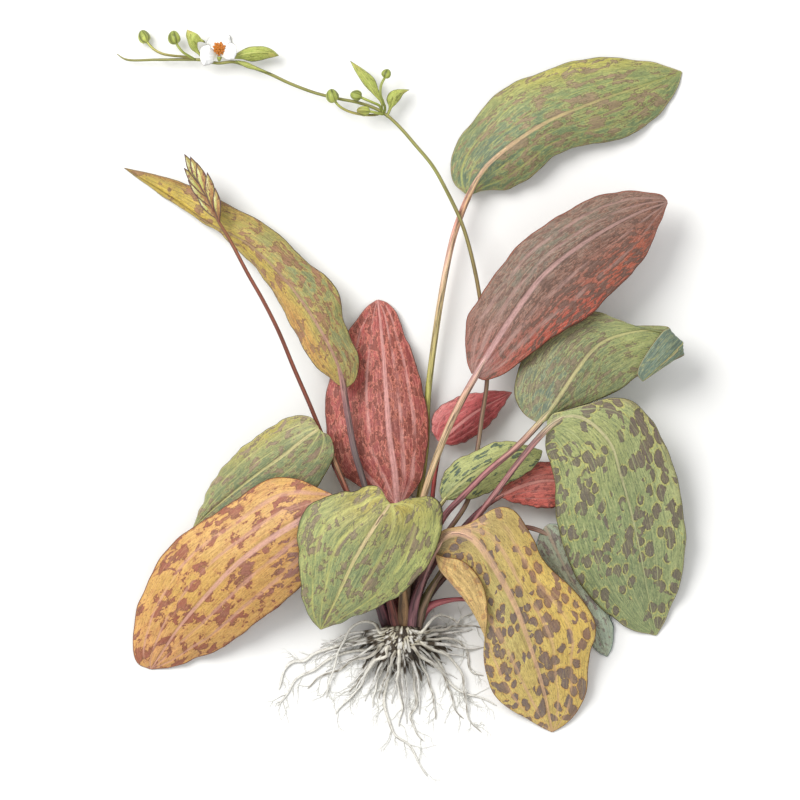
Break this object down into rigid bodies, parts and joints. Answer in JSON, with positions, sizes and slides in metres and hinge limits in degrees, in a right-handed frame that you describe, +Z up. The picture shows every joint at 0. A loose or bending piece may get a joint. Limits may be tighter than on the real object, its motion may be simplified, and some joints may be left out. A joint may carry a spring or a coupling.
{
  "type": "echinodorus plant",
  "caption": "Spotted sword plant with bare roots, laid on its back: broad stalked leaves round a short crown, a long stalk with buds and an open flower, and a closed flower spike.",
  "frame": {"origin": "centre of the plant's box on the surface that it lies on", "axes": "+Y from the roots towards the flowers, +Z up from the surface, +X to the right as seen from above with the flowers up"},
  "size_m": [0.3709, 0.4874, 0.0686],
  "materials": {
    "green_leaf": "satin leaf with brown mottling",
    "yellow_green_leaf": "satin leaf with brown mottling",
    "blue_green_leaf": "satin leaf, dark mottling",
    "golden_leaf": "satin leaf with purple-brown blotches",
    "orange_leaf": "satin leaf with red-brown blotches",
    "brown_red_leaf": "satin leaf, grey-brown and red",
    "red_leaf": "satin leaf, red with pale flecks",
    "crimson_leaf": "satin young leaf",
    "olive_stalk": "satin stalk",
    "brown_stalk": "satin stalk",
    "bud_green": "satin bud and bract",
    "petal_white": "soft matt petal",
    "stamen_orange": "matt, grainy",
    "root_white": "damp, fibrous",
    "crown_white": "damp, scaly"
  },
  "bodies": {
    "root": {"crown": "crown_white", "leaf_top": "green_leaf", "leaf_dark_red": "brown_red_leaf", "leaf_folded_tip": "green_leaf", "leaf_right": "yellow_green_leaf", "leaf_blue_green": "blue_green_leaf", "leaf_golden": "golden_leaf", "leaf_front": "green_leaf", "leaf_orange": "orange_leaf", "leaf_left": "green_leaf", "leaf_tall": "yellow_green_leaf", "leaf_red": "red_leaf", "leaf_crimson": "crimson_leaf", "leaf_small_red": "crimson_leaf", "leaf_dashed": "yellow_green_leaf", "leaf_tucked": "green_leaf", "flower_stalk": "olive_stalk", "young_stalk": "brown_stalk", "bract_lower_left": "bud_green", "bract_lower_right": "bud_green", "bract_upper_folded": "bud_green", "bract_upper_right": "bud_green", "bract_upper_clasping": "bud_green", "bud_lower_1": "bud_green", "bud_lower_2": "bud_green", "bud_lower_3": "bud_green", "bud_lower_4": "bud_green", "bud_upper_1": "bud_green", "bud_upper_2": "bud_green", "flower_cup": "bud_green", "stamens": "stamen_orange", "petal_left": "petal_white", "petal_back": "petal_white", "petal_right": "petal_white", "spike_bract_1": "bud_green", "spike_bract_2": "bud_green", "spike_bract_3": "bud_green", "spike_bract_4": "bud_green", "spike_bract_5": "bud_green", "spike_bract_6": "bud_green", "spike_bract_7": "bud_green", "spike_bract_8": "bud_green", "root_1": "root_white", "root_2": "root_white", "root_3": "root_white", "root_4": "root_white", "root_5": "root_white", "root_6": "root_white", "root_7": "root_white", "root_8": "root_white", "root_9": "root_white", "root_10": "root_white", "root_11": "root_white", "root_12": "root_white", "root_13": "root_white", "root_14": "root_white", "root_15": "root_white", "root_16": "root_white", "root_17": "root_white", "root_18": "root_white"}
  },
  "joints": []
}
